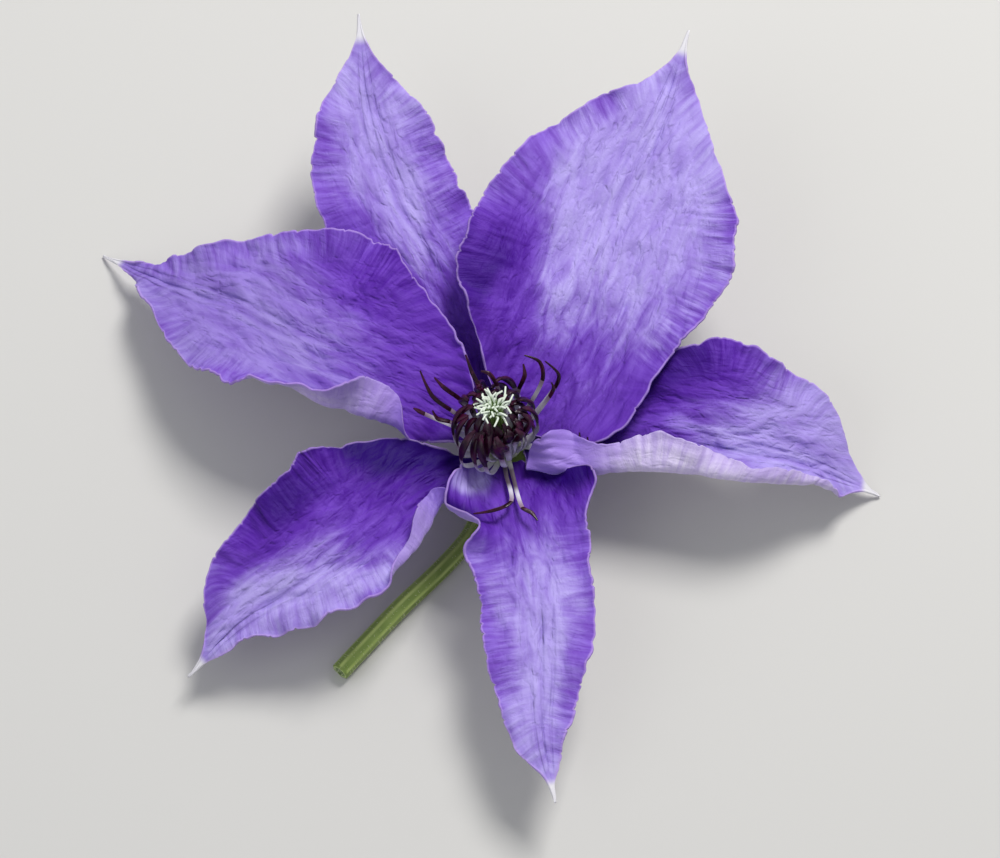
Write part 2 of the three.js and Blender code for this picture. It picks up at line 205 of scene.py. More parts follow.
add_light("key_light", (0.3, 0.55, 0.9), 0.4, 10.5, (1.0, 0.985, 0.96))
add_light("fill_light", (-0.8, -0.5, 0.8), 0.9, 2.4, (0.93, 0.96, 1.0))
world = bpy.data.worlds.new("surroundings")
world.use_nodes = True
world.node_tree.nodes["Background"].inputs["Color"].default_value = (0.93, 0.95, 1.0, 1.0)
world.node_tree.nodes["Background"].inputs["Strength"].default_value = 0.4
bpy.context.scene.world = world
bpy.context.scene.view_settings.view_transform = "Standard"
print("floor and lights placed")

# %% [markdown]
# ## The form of a tepal
# Every tepal is a blade along a midrib. The midrib is a smooth curve through six points:
# how far out, how far to the left and how high over the foot. On each side the blade has
# its own half width, a fold up from the midrib, and a curl that the margin adds to the
# fold. A strong curl rolls the margin over, so that its pale underside shows. A hem says
# how far from the midrib the roll starts, six times from foot to tip, and how wide it is.
# Lifts, rolls and shoulders ruffle or move a short stretch of the margin.
#
# Most values are those of the solids, so each fine tepal lies where its solid lies. Only
# some rolled margins go further than in the solids, and all tips are thinner.
#
# The rest is for the colours. The tone says how pale the front is, and the opening how far
# along its pale field begins. Marks move that beginning on one side, and spread widens or
# narrows the field there: each is a side, a place along the blade, its extent and an
# amount. Some marks are painted shade or a painted highlight, as said at their tepals.
# Lilac dims the pale back, and rough deepens the relief.

# %% Values of the six tepals
WIDTH_STATIONS = [0, 0.05, 0.12, 0.22, 0.36, 0.5, 0.64, 0.78, 0.88, 0.95, 1]
SHAPE_STATIONS = [0, 0.2, 0.4, 0.6, 0.8, 1]
LEFT, RIGHT = 1, -1

TEPALS = {
    "tepal_upper_left": dict(
        angle=108, tone=0.6, opening=0.47,
        midrib=[(4.2, 0, 0), (22, -0.9, 0.5), (40, 1, 2),
                (58.5, 4.6, 5.5), (77, 4.4, 10.5), (95, 0.7, 17)],
        # the mark is painted shade: it deepens the violet of the left half, half way out
        marks=[(LEFT, 0.45, 0.2, -0.3)],
        spread=[(LEFT, 0.5, 0.3, -5.5)], rough=0.9,
        left=dict(width=[1.4, 2.6, 5.5, 10, 15, 16, 15.5, 11.5, 4.8, 1.5, 0.4],
                  fold=[0, 4, 5, 5, 5, 0], curl=[0, -5, -15, -5, 0, 0]),
        right=dict(width=[1.4, 2.6, 5, 8.5, 11.5, 12.5, 12.5, 10.5, 4.6, 1.2, 0.4],
                   fold=[0, 4, 5, 5, 5, 0], curl=[0, -5, -15, 0, 0, 0])),
    "tepal_left": dict(
        angle=158, tone=0.28, opening=0.36, lilac=0.5,
        midrib=[(4.2, 0, 0), (22, -2, 3.2), (40.5, -2.3, 5),
                (59, -6.3, 3.3), (78, -9.5, -3), (95.8, -14.8, -12.6)],
        marks=[(RIGHT, 0.45, 0.3, -0.25), (LEFT, 0.75, 0.15, 0.15)],
        spread=[(LEFT, 0.55, 0.35, 4.5)], rough=1.45,
        left=dict(width=[1.4, 4.4, 7.8, 16.5, 16.5, 16, 15.5, 8.1, 2.6, 0.8, 0.4],
                  fold=[-4, 7, 5, 5, 5, 0], curl=[60, 150, 70, 5, 0, 0],
                  hem=([7.2] * 6, 5)),
        right=dict(width=[1.4, 5.5, 11.5, 18.5, 26, 25, 17.5, 9, 3, 0.9, 0.4],
                   fold=[0, 5, 5, 5, 5, 0], curl=[20, 10, 10, 10, 0, 0])),
    "tepal_upper_right": dict(
        angle=62, tone=0.78, opening=0.29,
        midrib=[(4.2, 0, 0.2), (22, -1, 4), (40, 1.3, 6.7),
                (58, 3.6, 9.7), (76, 4.2, 13.5), (93.3, 6.9, 18)],
        marks=[(LEFT, 0.36, 0.2, -0.4), (RIGHT, 0.2, 0.1, -0.1)],
        spread=[(LEFT, 0.5, 0.3, -3.5)],
        left=dict(width=[1.4, 8, 15.5, 22, 26.5, 25, 20, 12, 4.2, 1.1, 0.4],
                  fold=[5, 5, 5, 5, 5, 0], curl=[20, 20, 15, 10, 0, 0]),
        right=dict(width=[1.4, 12.5, 20.5, 21, 25, 26.5, 23, 12, 4.4, 1.3, 0.4],
                   fold=[4, 6, 5, 5, 5, 0], curl=[10, 20, 10, 10, 0, 0],
                   shoulder=2)),
    "tepal_right": dict(
        angle=-3, tone=0.65, opening=0.5,
        midrib=[(4.2, 0, 0), (18, 1.1, 1), (33, 0.9, 3.4),
                (48, -0.6, 2.5), (62.5, -0.3, -4), (75.9, -1.4, -12.6)],
        marks=[(LEFT, 0.4, 0.2, -0.3), (RIGHT, 0.7, 0.3, 0.2)],
        spread=[(RIGHT, 0.72, 0.3, 8), (LEFT, 0.82, 0.2, 7)],
        left=dict(width=[1.4, 2.6, 5.5, 10, 16.5, 22, 19, 15, 7.2, 2.4, 0.4],
                  fold=[-6, -1, 12, 20, 20, 0], curl=[0, -5, 0, 0, -10, 0]),
        right=dict(width=[1.4, 12.8, 16.8, 13.4, 15.3, 13.5, 11, 8, 4, 1, 0.4],
                   fold=[14, 3, 4, 15, 20, 0], curl=[130, 155, 155, 150, 150, 60],
                   shoulder=2.6, hem=([5.6, 5.6, 5.6, 6.2, 3.6, 0.8], 4.4),
                   lifts=[(0.04, 0.025, 1.1), (0.09, 0.022, -1.5),
                          (0.14, 0.025, 1.3), (0.2, 0.03, -0.8)])),
    "tepal_lower": dict(
        angle=275, tone=0.72, opening=0.3,
        midrib=[(4.2, 0, 0), (18.5, 2.2, 2.7), (33.5, 3.6, 4),
                (48.5, 3, 3.7), (63, 1.8, 2.2), (77.1, 2.9, 0)],
        # the first mark is partly a paler colour and partly a painted highlight on the steep wall near the
        # foot of the right half; the second is painted shade inside the cup that the ruffled right margin
        # makes
        marks=[(RIGHT, 0.06, 0.05, 0.6), (RIGHT, 0.17, 0.06, -0.5),
               (LEFT, 0.1, 0.06, -0.35)],
        spread=[(RIGHT, 0.85, 0.15, 4), (LEFT, 0.85, 0.15, 3),
                (RIGHT, 0.45, 0.2, -1.5), (LEFT, 0.45, 0.2, -1.5)],
        left=dict(width=[3.5, 6.5, 17.5, 13, 10.8, 10.3, 8, 5.2, 2.6, 0.9, 0.4],
                  fold=[-9, -5, 0, 0, 0, 0], curl=[30, 50, 10, 0, 0, 0],
                  power=2, shoulder=0.3, lifts=[(0.12, 0.04, 3.5)]),
        right=dict(width=[1.4, 11, 18.6, 14, 12, 11.5, 10, 7, 3.6, 1, 0.4],
                   fold=[3, 6, 0, 0, 0, 0], curl=[50, 65, 10, 0, 0, 0],
                   power=2.6, shoulder=3,
                   lifts=[(0.1, 0.06, 2.5), (0.2, 0.04, 1.5), (0.29, 0.05, -1),
                          (0.09, 0.03, 1.5), (0.165, 0.03, -3), (0.24, 0.03, 2.2)],
                   rolls=[(0.21, 0.045, 38)])),
    "tepal_lower_left": dict(
        angle=222, tone=0.75, opening=0.54, lilac=0.8,
        midrib=[(4.2, 0, 0), (18.5, -3, 2.4), (33.5, -1.5, 4),
                (48.5, -3, 3), (63.5, -6.5, -1.5), (78, -6.6, -7)],
        # the second mark is painted shade: it deepens the violet near the foot of the right half
        marks=[(RIGHT, 0.64, 0.26, -0.42), (RIGHT, 0.2, 0.1, -0.35), (LEFT, 0.6, 0.25, 0.2)],
        spread=[(LEFT, 0.65, 0.3, 7)], rough=1.3,
        left=dict(width=[1.4, 2.4, 5.8, 10.8, 12.4, 11, 8.6, 5.1, 2.4, 0.9, 0.4],
                  fold=[0, 2, 5, 5, 5, 0], curl=[60, 155, 140, 5, 0, 0],
                  hem=([4.5, 4.5, 8.1, 9.9, 9.9, 9.9], 3.5)),
        right=dict(width=[1.4, 2.8, 6, 14.2, 21, 20.5, 18.5, 13, 4.6, 1, 0.4],
                   fold=[0, 2, 5, 5, 5, 0], curl=[0, 10, 10, 0, 0, 0])),
}
print(len(TEPALS), "tepals, the longest", max(t["midrib"][-1][0] for t in TEPALS.values()), "mm out")

# %% [markdown]
# ## From values to a surface
# A smooth curve runs through each list of values. Then a row of points is laid across the
# midrib at every place along it: each half leaves the midrib at its fold, and turns more
# and more towards the margin. The same sums are done for all rows at once, with arrays.

# %% The surface of a tepal
WAVE_HEIGHT, WAVE_COUNT, WAVE_LAG = 0.8, 5, 0.2
SHOULDER_AT, SHOULDER_EXTENT = 0.06, 0.05
TIP_STATIONS, TIP_SHARES = [0, 0.86, 0.93, 1], [1, 1, 0.75, 0.3]     # the tip narrows to a thread
THREAD = 0.1
LEAN_STEPS = 24
SMALL_STEP = 1e-3


def smooth(stations, values, at):
    """Values read off the smooth curve through the values at the stations."""
    x, y, at = np.asarray(stations, float), np.asarray(values, float), np.asarray(at, float)
    slope = np.empty_like(y)
    slope[1:-1] = (y[2:] - y[:-2]) / (x[2:] - x[:-2])
    slope[0] = (y[1] - y[0]) / (x[1] - x[0])
    slope[-1] = (y[-1] - y[-2]) / (x[-1] - x[-2])
    i = np.clip(np.searchsorted(x, at, side="left") - 1, 0, len(x) - 2)
    span = x[i + 1] - x[i]
    t = (at - x[i]) / span
    return ((2 * t**3 - 3 * t**2 + 1) * y[i] + (t**3 - 2 * t**2 + t) * span * slope[i]
            + (3 * t**2 - 2 * t**3) * y[i + 1] + (t**3 - t**2) * span * slope[i + 1])


def unit(vectors):
    return vectors / np.maximum(np.linalg.norm(vectors, axis=-1, keepdims=True), 1e-12)


def midrib_points(tepal, along):
    out, aside, up = (smooth(SHAPE_STATIONS, values, along) for values in zip(*tepal["midrib"]))
    turn = math.radians(tepal["angle"])
    x = out * math.cos(turn) - aside * math.sin(turn)
    y = out * math.sin(turn) + aside * math.cos(turn)
    return np.stack([x, y, up + FOOT_HEIGHT], -1) + BLOOM


def near(along, at, extent):
    """1 at one place along the blade, and nearly 0 two extents away from it, row by row."""
    return np.exp(-((along - at) / extent) ** 2)[:, None]


def turned_over(half, along, distance, reach):
    """How much of the curl is there: all of it at the margin, or beyond a turned hem."""
    if "hem" not in half:
        return reach ** half.get("power", 2) + 0 * distance
    starts, extent = half["hem"]
    step = np.clip((distance - smooth(SHAPE_STATIONS, starts, along)[:, None]) / extent, 0, 1)
    return step**2 * (3 - 2 * step)


def half_surface(half, along, reach, phase):
    """Sideways and upward distance from the midrib, for every row and every reach."""
    fold = smooth(SHAPE_STATIONS, half["fold"], along)[:, None]
    curl = smooth(SHAPE_STATIONS, half["curl"], along)[:, None]
    for at, extent, amount in half.get("rolls", ()):
        curl = curl + amount * near(along, at, extent)
    narrowed = smooth(WIDTH_STATIONS, half["width"], along) * smooth(TIP_STATIONS, TIP_SHARES, along)
    width = np.maximum(narrowed, THREAD)[:, None]
    knots = (np.arange(LEAN_STEPS) + 0.5) / LEAN_STEPS
    lean = np.radians(fold + curl * turned_over(half, along, knots * width, knots))
    start = np.zeros((len(along), 1))
    ends = np.arange(LEAN_STEPS + 1) / LEAN_STEPS
    summed = []
    for parts in (np.cos(lean), np.sin(lean)):
        rows = np.concatenate([start, np.cumsum(parts, 1) / LEAN_STEPS], 1)
        summed.append(np.stack([np.interp(reach, ends, row) for row in rows]) * width)
    side, up = summed
    height = WAVE_HEIGHT * np.sqrt(np.sin(np.pi * np.clip(along, 0, 1)))[:, None] * reach**3
    lift = height * np.sin(2 * np.pi * (WAVE_COUNT * along[:, None] + phase + WAVE_LAG * reach))
    for at, extent, amount in half.get("lifts", ()):
        lift = lift + amount * reach**2 * near(along, at, extent)
    lean_here = np.radians(fold + curl * turned_over(half, along, reach * width, reach))
    return side - np.sin(lean_here) * lift, up + np.cos(lean_here) * lift, width * reach


def tepal_surface(tepal, along, columns):
    """Points[row, column] in millimetres, and how far each lies from the midrib."""
    ahead = midrib_points(tepal, np.minimum(along + SMALL_STEP, 1))
    tangent = unit(ahead - midrib_points(tepal, np.maximum(along - SMALL_STEP, 0)))
    leftward = unit(np.cross([0, 0, 1.0], tangent))
    upward = np.cross(tangent, leftward)
    middle = midrib_points(tepal, along)
    points = np.zeros((len(along), len(columns), 3))
    across = np.zeros((len(along), len(columns)))
    for hand, half, phase in ((LEFT, tepal["left"], 0.0), (RIGHT, tepal["right"], 0.3)):
        chosen = columns * hand >= 0
        reach = np.abs(columns[chosen])
        side, up, distance = half_surface(half, along, reach, phase)
        shoulder = half.get("shoulder", 0) * near(along, SHOULDER_AT, SHOULDER_EXTENT) * reach**2
        points[:, chosen] = (middle[:, None] + hand * side[..., None] * leftward[:, None]
                             + up[..., None] * upward[:, None] - shoulder[..., None] * tangent[:, None])
        across[:, chosen] = hand * distance
    return points, across


print("tepal surface ready")

# %% [markdown]
# ## The skin of a tepal
# Close up, a tepal is never smooth. Near the margin it is finely pleated, and the pleats
# meet the margin squarely. So every point gets a number that says at which place along
# the margin its pleat ends. In the middle the blade is crinkled lengthwise, between three
# shallow nerves. All of this is pushed into the surface along its normals, so that it
# catches the light from every side. It fades out before the tip, which is too thin for it.
# In the sums below, a number that divides a place is the size of that kind of relief, and
# the number before a kind is its height, both in millimetres.

# %% Relief of the skin
NERVES = ((-1, 0.08), (0, 0.2), (1, 0.08))     # the place and depth of each
NERVE_WIDTH = 0.3
CALM_FROM, CALM_EXTENT = 0.96, 0.1
WHOLE_FROM, WHOLE_EXTENT = 0.95, 0.12


def wander(x, y, seed):
    """Smooth random numbers from about -1 to 1 over arrays of places, alike on every run."""
    flat = [noise.noise(Vector((a, b, seed))) for a, b in zip(x.ravel(), y.ravel())]
    return np.array(flat).reshape(x.shape) * 2


def nerve_spacing(along):
    """The nerves lie furthest apart half way along, and meet at the tip."""
    return 2.4 * (0.3 + 0.7 * np.sin(np.pi * np.clip(along + 0.08, 0, 1)) ** 0.7)[:, None]


def pleat_place(length, across, margin):
    """Where along the margin the pleat through each point ends, in millimetres."""
    width = margin + np.abs(across)
    slope = np.gradient(width, axis=0) / np.maximum(np.gradient(length, axis=0), 1e-6)
    return length - margin * slope / np.sqrt(1 + slope**2)


def ramp(values, start, end):
    step = np.clip((values - start) / (end - start), 0, 1)
    return step**2 * (3 - 2 * step)


def skin_relief(length, across, columns, along, pleat, seed):
    """How far each point is pushed out of the smooth surface, in millimetres."""
    reach, side = np.abs(columns)[None, :], np.sign(across)
    nerve = across / nerve_spacing(along)
    nerves = sum(depth * np.exp(-((nerve - k) / NERVE_WIDTH) ** 2) for k, depth in NERVES)
    outer = ramp(reach, 0.3, 0.8) * ramp(along, 0.1, 0.25)[:, None]
    drift = wander(length / 9, across / 9, seed + 3)
    pleats = wander((pleat + 0.8 * drift) / 1.2, side * 5 + 0.9 * reach, seed + 5)
    folds = wander((pleat + 1.5 * drift) / 3.4, side * 8 + 0.6 * reach, seed + 6)
    crinkles = 0.5 - np.sqrt(wander(across / 2.2 + 0.7 * drift, length / 6, seed + 7) ** 2 + 0.03)
    wrinkles = (1 + drift) * wander(across / 1.3 + 0.9 * drift, length / 4.4 + 0.5 * drift, seed + 9)
    lanes = wander(across / 2.8 + 0.5 * drift, length / 16, seed + 15)
    crumple = wander(across / 5, length / 7, seed + 11)
    ruffle = wander(length / 5, side * 4.0, seed + 13) * reach**4
    near_margin = outer * (0.12 * pleats + 0.16 * folds)
    near_midrib = (1 - 0.7 * outer) * (0.26 * crinkles + 0.12 * wrinkles + 0.2 * lanes)
    relief = -nerves + near_margin + near_midrib + 0.34 * crumple + 0.8 * ruffle
    return relief * np.clip((CALM_FROM - along) / CALM_EXTENT, 0, 1)[:, None]


def ragged_margin(length, columns, across, along, seed):
    """How far the margin is drawn in: gentle lobes, with a sharp notch here and there."""
    reach, side = np.abs(columns)[None, :], np.sign(across)
    lobes = wander(length / 6, side * 7.0, seed + 17)
    notches = np.exp(-((wander(length / 5, side * 3.0, seed + 23) / 0.09) ** 2))
    teeth = wander(length / 1.5, side * 9.0, seed + 19)
    whole = np.clip((WHOLE_FROM - along) / WHOLE_EXTENT, 0, 1)[:, None]
    return (0.45 * lobes + 0.45 * notches + 0.18 * teeth) * reach**6 * whole


print("skin relief ready")

# %% [markdown]
# ## Making a blade
# A grid primitive already has the right order of points: rows along the tepal and columns
# across it. Each point is moved to its place on the surface. A Solidify modifier then gives
# the sheet its thickness, half to each side, closes the margin, and puts the second
# material on the lower face, because the back of a tepal is far paler than its front.
# Numbers that the materials need are stored at the points: how far along, how far across
# and how far from the margin each lies, its tone, where the pale field has opened, and how
# far inside that field it is.

# %% Blade builder
ROWS, COLUMNS = 270, 90
SHEET = 0.42
CLOSER_AT_FOOT, CLOSER_AT_MARGIN = 1.1, 0.85     # powers that draw the grid's lines together


def distances_along(points):
    """How far along the line through them each of the points lies."""
    return np.concatenate([[0], np.cumsum(np.linalg.norm(np.diff(points, axis=0), axis=1))])


def store(mesh, name, values):
    """Stores one number for each point, or the same number for all of them."""
    attribute = mesh.attributes.new(name, "FLOAT", "POINT")
    attribute.data.foreach_set("value", np.full(len(mesh.vertices), np.ravel(values), np.float32))


def shifted(marks, along, columns):
    """What the marks add on one side of the midrib: hand, at, extent and amount."""
    total = np.zeros((len(along), len(columns)))
    for hand, at, extent, amount in marks:
        total += amount * near(along, at, extent) * ramp(columns * hand, 0.15, 0.75)[None, :]
    return total


def give(pieces, *skins):
    """Gives each piece these materials, in this order, and no others."""
    for piece in pieces:
        piece.data.materials.clear()
        for skin in skins:
            piece.data.materials.append(skin)


def face_outwards():
    """Turns the faces of the active piece so that they all look outwards."""
    bpy.ops.object.mode_set(mode="EDIT")
    bpy.ops.mesh.select_all(action="SELECT")
    bpy.ops.mesh.normals_make_consistent(inside=False)
    bpy.ops.object.mode_set(mode="OBJECT")


def thicken(piece):
    face_outwards()
    if sum(p.normal.z for p in piece.data.polygons) < 0:
        piece.data.flip_normals()
    sheet = piece.modifiers.new("thickness", "SOLIDIFY")
    sheet.thickness = SHEET * MM
    sheet.offset = 0
    sheet.material_offset = 1
    sheet.material_offset_rim = 0
    bpy.ops.object.modifier_apply(modifier=sheet.name)
    bpy.ops.object.shade_smooth()


def corners_of(mesh):
    flat = np.empty(len(mesh.vertices) * 3)
    mesh.vertices.foreach_get("co", flat)
    return flat.reshape(-1, 3)


def blade(name, tepal, seed, skins):
    """The fine tepal that stands for one solid."""
    piece = primitive(bpy.ops.mesh.primitive_grid_add, x_subdivisions=COLUMNS, y_subdivisions=ROWS, size=2)
    piece.name = name.replace("tepal", "blade")
    mesh = piece.data
    grid = corners_of(mesh).reshape(ROWS + 1, COLUMNS + 1, 3)
    columns = -np.sign(grid[0, :, 0]) * np.abs(grid[0, :, 0]) ** CLOSER_AT_MARGIN
    along = ((grid[:, 0, 1] + 1) / 2) ** CLOSER_AT_FOOT
    points, across = tepal_surface(tepal, along, columns)
    length = np.repeat(distances_along(points[:, COLUMNS // 2])[:, None], COLUMNS + 1, 1)
    sidewise = unit(-np.gradient(points, axis=1))
    normal = unit(np.cross(np.gradient(points, axis=0), sidewise))
    width = np.abs(across[:, [0, -1]])
    margin = np.where(across >= 0, width[:, :1], width[:, 1:]) - np.abs(across)
    pleat = pleat_place(length, across, margin)
    relief = tepal.get("rough", 1) * skin_relief(length, across, columns, along, pleat, seed)
    inward = ragged_margin(length, columns, across, along, seed) * np.sign(across)
    points = points + normal * relief[..., None] - sidewise * inward[..., None]
    mesh.vertices.foreach_set("co", (points * MM).ravel())
    stored = {
        "across": across, "length": length, "pleat": pleat, "margin": margin,
        "nerve": across / nerve_spacing(along),
        "along": np.repeat(along[:, None], COLUMNS + 1, 1),
        "tone": tepal["tone"], "lilac": tepal.get("lilac", 0),
        "opened": along[:, None] - tepal["opening"] + shifted(tepal["marks"], along, columns),
        "inside": margin + shifted(tepal.get("spread", ()), along, columns),
    }
    for key, values in stored.items():
        store(mesh, key, values)
    give([piece], *skins)
    mesh.update()
    thicken(piece)
    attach(piece, "root")
    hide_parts(name)
    return piece


print("a blade has", ROWS * COLUMNS * 4, "triangles before its margin")

# %% [markdown]
# ## Texture of the skin
# Front and back of a tepal share their fine structure, so it is a node group that both
# materials use. A noise that is drawn out along the pleats gives the streaks near the
# margin, and another, drawn out along the midrib, those in the middle. Two more make soft
# winding crests where they cross their middle value: these are the wrinkles. The group
# also mixes all of them into a height for the bump.

# %% The skin group
SKIN_INPUTS = ("Across", "Length", "Pleat", "Margin")
SKIN_OUTPUTS = ("Streaks", "Wrinkles", "Patches", "Height")


def noise_on(first, second, drawn_out, scale, detail, distortion=0.0):
    """Noise over two places on the skin. A low drawn_out makes it long along the second."""
    tree = first.id_data
    place = add_node(tree, "ShaderNodeCombineXYZ", {0: first, 1: times(second, drawn_out)})
    inputs = {"Vector": place.outputs[0], "Scale": scale, "Detail": detail, "Roughness": 0.6,
              "Distortion": distortion}
    return add_node(tree, "ShaderNodeTexNoise", inputs).outputs["Fac"]


def crests(value, width):
    """1 on the winding lines where the noise crosses its middle value, and 0 between them."""
    return fade(maths("ABSOLUTE", less(value, 0.5)), 0.0, width, 1.0, 0.0)


def skin_group():
    tree = bpy.data.node_groups.new("tepal_skin", "ShaderNodeTree")
    for names, way in ((SKIN_INPUTS, "INPUT"), (SKIN_OUTPUTS, "OUTPUT")):
        for name in names:
            tree.interface.new_socket(name, in_out=way, socket_type="NodeSocketFloat")
    given = tree.nodes.new("NodeGroupInput").outputs
    across, length, pleat, margin = (given[name] for name in SKIN_INPUTS)
    pleats = noise_on(pleat, across, 0.16, 0.85, 3.0, 0.25)
    wide = noise_on(across, length, 0.36, 0.4, 1.6, 0.8)
    fine = noise_on(across, length, 0.5, 0.8, 1.2, 0.5)
    lanes = noise_on(across, length, 0.26, 0.4, 3.0, 0.8)
    patches = noise_on(across, length, 0.5, 0.07, 2.0)
    grain = noise_on(across, length, 1.0, 2.6, 2.0)
    crested = times(crests(wide, 0.4), 0.7, times(crests(fine, 0.4), 0.3))
    inner = fade(margin, 2.0, 9.0, 0.35, 1.0)
    height = times(times(fine, 0.9, crested), inner, times(grain, 0.16))
    beyond_foot = fade(length, 10.0, 26.0)
    outer = times(fade(margin, 3.0, 9.0, 0.8, 0.1), beyond_foot)
    height = times(pleats, outer, height)
    middle = maths("MAXIMUM", fade(margin, 4.0, 10.0), opposite(beyond_foot))
    streaks = times(less(lanes, pleats), middle, pleats)
    results = (fade(streaks, 0.24, 0.76), crested, fade(patches, 0.35, 0.65), height)
    made = tree.nodes.new("NodeGroupOutput").inputs
    for name, result in zip(SKIN_OUTPUTS, results):
        tree.links.new(result, made[name])
    return tree


SKIN = skin_group()


def add_skin(tree):
    group = tree.nodes.new("ShaderNodeGroup")
    group.node_tree = SKIN
    for name in SKIN_INPUTS:
        tree.links.new(measure(tree, name.lower()), group.inputs[name])
    return group


print("skin group has", len(SKIN.nodes), "nodes")

# %% [markdown]
# ## Colours of the front
# The front is violet. A pale lavender field fills its middle and narrows to the tip, a
# purple band follows the margin, and streaks carry each colour into the other. The foot
# is the deepest violet, partly its own colour and partly painted shade where the tepals
# meet, and the very tip is white. The field is weakest on the tepals with a low tone.
# Painted shade darkens the valleys between the crests of the wrinkles, which stay pale
# like lit ridges, and the lines of the three nerves.

# %% Material of the front
def surface(shader, base, height, strength, distance):
    """The colour of a shader, and its bump, whose distance is in millimetres."""
    tree = shader.id_data
    tree.links.new(base, shader.inputs["Base Color"])
    inputs = {"Height": height, "Strength": strength, "Distance": distance * MM}
    bump = add_node(tree, "ShaderNodeBump", inputs)
    tree.links.new(bump.outputs["Normal"], shader.inputs["Normal"])


def inside_field(tree, skin, opened, inside, along, tone):
    """1 in the pale field in the middle of the blade, and 0 in the violet outside it."""
    streaks, patches = skin.outputs["Streaks"], skin.outputs["Patches"]
    streaked = times(less(streaks, 0.5), 2.4, inside)
    uneven = times(less(patches, 0.5), 7.0, streaked)
    wider = times(fade(along, 0.55, 0.92), 5.0, uneven)
    field = fade(wider, -1.0, 9.5)
    distance = maths("ABSOLUTE", measure(tree, "across"))
    rib = times(opposite(fade(distance, 0.5, 5.0)), 0.8)
    begun = fade(times(streaks, 0.1, opened), -0.02, 0.26)
    strength = times(patches, 0.26, times(tone, 0.6, 0.22))
    return times(times(maths("MAXIMUM", field, rib), begun), strength, clamp=True)


def nerve_lines(tree, along):
    """1 on the three nerves that run along the middle, fading towards the foot and the tip."""
    aside = maths("ABSOLUTE", measure(tree, "nerve"))
    nearest = maths("MINIMUM", aside, maths("ABSOLUTE", less(aside, 1.0)))
    seen = times(fade(along, 0.15, 0.6), fade(along, 0.86, 0.95, 1.0, 0.0))
    return times(fade(nearest, 0.03, 0.3, 1.0, 0.0), seen)


def front_material():
    material, tree, shader = new_material("tepal_front", {"Roughness": 0.55, "Specular IOR Level": 0.1})
    skin = add_skin(tree)
    streaks, wrinkles = skin.outputs["Streaks"], skin.outputs["Wrinkles"]
    along, margin, tone, inside = (measure(tree, name) for name in ("along", "margin", "tone", "inside"))
    opened = times(skin.outputs["Patches"], 0.12, measure(tree, "opened"))
    outer = blend(streaks, (110, 66, 178), (140, 106, 212))
    foot = blend(streaks, (76, 23, 150), (108, 58, 185))
    # partly painted shade: the deepest violet at the foot, and where marks hold the pale field back, is
    # partly the tepal's own colour and partly shade where the tepals meet
    deep_foot_and_shade = blend(fade(opened, -0.48, -0.12), (38, 3, 102), foot)
    body = blend(fade(opened, -0.24, 0.22), deep_foot_and_shade, outer)
    shade = fade(tone, 0.25, 0.6)
    dark_streaks = blend(shade, (140, 124, 194), (168, 148, 226))
    pale_streaks = blend(shade, (164, 154, 208), (188, 176, 236))
    field = blend(streaks, dark_streaks, pale_streaks)
    filled = blend(inside_field(tree, skin, opened, inside, along, tone), body, field)
    nerves = nerve_lines(tree, along)
    # painted shade: darker violet in the valleys between the wrinkle crests and along the three nerves, while
    # the crests stay pale like lit ridges
    painted_shade_amount = times(nerves, 0.1, times(wrinkles, -0.4, 0.32, clamp=True))
    valley_shade_colour = blend(fade(opened, -0.3, 0.05), (44, 6, 110), (84, 40, 164))
    valley_shaded = blend(painted_shade_amount, filled, valley_shade_colour)
    edge = opposite(fade(margin, 0.08, 0.5))
    edged = blend(times(edge, 0.55), valley_shaded, (190, 160, 228))
    pointed = blend(fade(along, 0.93, 0.955), edged, (226, 224, 230))
    height = times(nerves, -0.3, skin.outputs["Height"])
    surface(shader, pointed, height, fade(along, 0.9, 0.94, 1.0, 0.1), 0.45)
    return material


FRONT = front_material()
print("front material has", len(FRONT.node_tree.nodes), "nodes")

# %% [markdown]
# ## Colours of the back
# The back is pale lilac, almost white along the middle, with violet creeping in from the
# margins and from the foot. It shows where a margin is rolled over, and from below.

# %% Material of the back
def back_material():
    inputs = {"Roughness": 0.6, "Sheen Weight": 0.3, "Sheen Roughness": 0.4}
    material, tree, shader = new_material("tepal_back", inputs)
    skin = add_skin(tree)
    distance = maths("ABSOLUTE", measure(tree, "across"))
    plain = blend(skin.outputs["Streaks"], (186, 168, 222), (222, 212, 240))
    middle = opposite(fade(distance, 0.5, 7.0))
    banded = blend(middle, plain, (216, 216, 220))
    edge = opposite(fade(measure(tree, "margin"), 0.2, 5.0))
    edged = blend(times(edge, 0.4), banded, (150, 116, 208))
    dimmed = blend(measure(tree, "lilac"), edged, (150, 122, 208))
    foot = opposite(fade(measure(tree, "along"), 0.16, 0.34))
    mottled = blend(skin.outputs["Patches"], (98, 58, 178), (146, 112, 210))
    footed = blend(times(foot, 0.9), dimmed, mottled)
    surface(shader, footed, skin.outputs["Height"], 1.0, 0.4)
    return material


BACK = back_material()
print("back material has", len(BACK.node_tree.nodes), "nodes")

# %% [markdown]
# ## The six tepals
# Both materials are ready, so the blades can be made. Each has a seed of its own, far
# enough from the others that no two tepals share their wrinkles.

# %% Make the six tepals
SEED_STEP = 31.7

for order, (name, tepal) in enumerate(TEPALS.items()):
    made = blade(name, tepal, SEED_STEP * order, (FRONT, BACK))
    print(made.name, len(made.data.polygons), "faces")

# %% [markdown]
# ## A rod that follows a line
# The stem, the stamens and the styles are all thin rods that bend. Each starts as a
# straight cylinder, one unit wide and one unit long, whose long edges are subdivided
# into rings. A copy of it is then bent: every ring is moved to its place on a smooth
# line, turned square to it, and given its width and thickness there.

